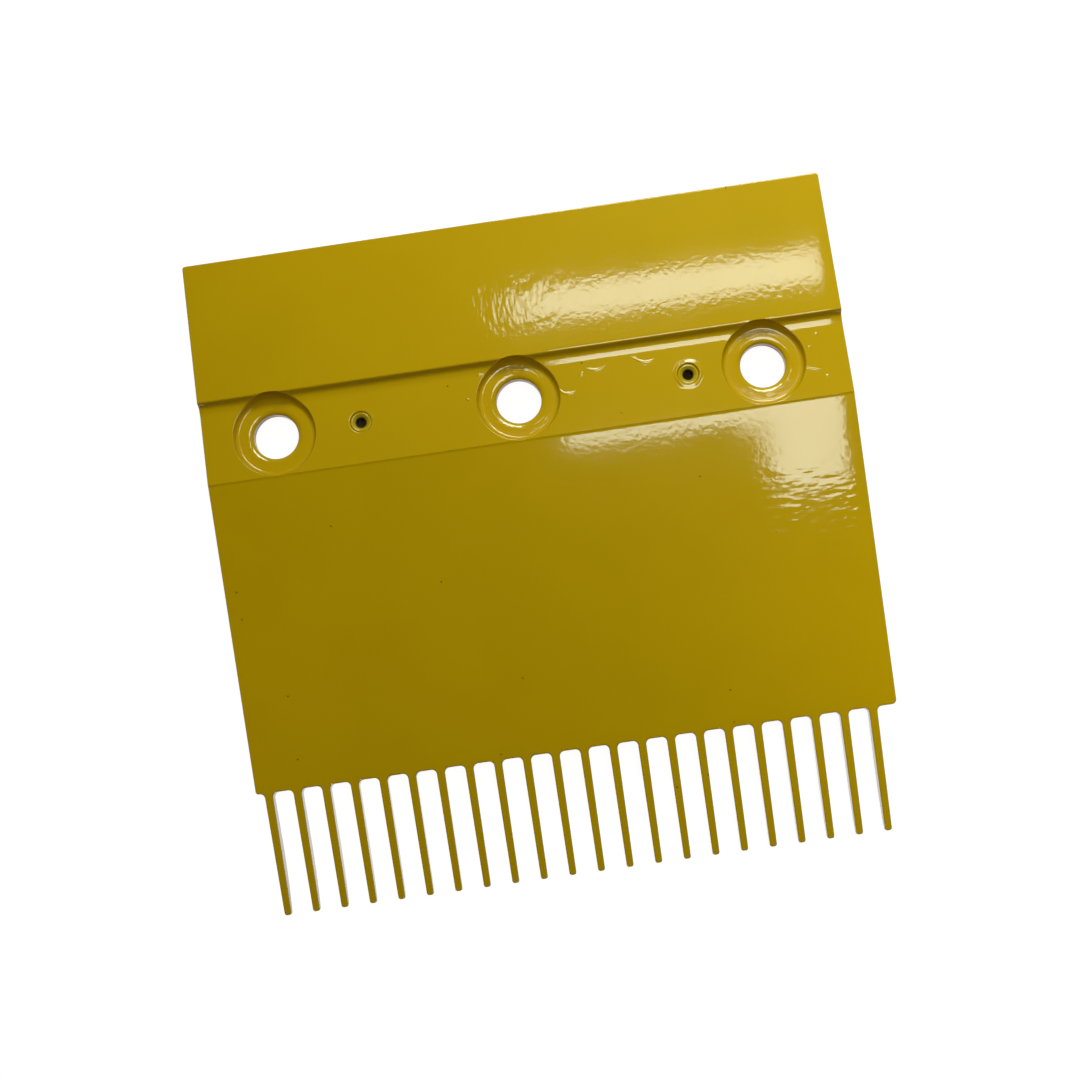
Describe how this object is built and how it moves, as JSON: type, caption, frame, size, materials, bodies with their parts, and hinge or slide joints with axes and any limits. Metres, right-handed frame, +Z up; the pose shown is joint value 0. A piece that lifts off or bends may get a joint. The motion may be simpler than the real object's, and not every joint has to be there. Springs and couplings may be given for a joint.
{
  "type": "escalator comb plate",
  "caption": "Cast comb segment for an escalator landing: holed mounting plate, sloping apron and a row of thin teeth that mesh with the step cleats.",
  "frame": {"origin": "on the axis of the middle fixing hole, in the flat mounting face on the underside", "axes": "+X to the right along the comb (towards the wide end margin), +Y from the teeth to the rear edge, +Z up along the fixing holes"},
  "size_m": [0.202, 0.2045, 0.0346],
  "materials": {
    "yellow_paint": "thick gloss safety-yellow powder coat with slight orange peel",
    "insert_metal": "thread insert painted over with the casting, dark tapped bore"
  },
  "bodies": {
    "root": {"mounting_plate": "yellow_paint", "front_apron": "yellow_paint", "apron_ribs": "yellow_paint", "comb_teeth": "yellow_paint", "thread_insert_left": "insert_metal", "thread_insert_right": "insert_metal"}
  },
  "joints": []
}
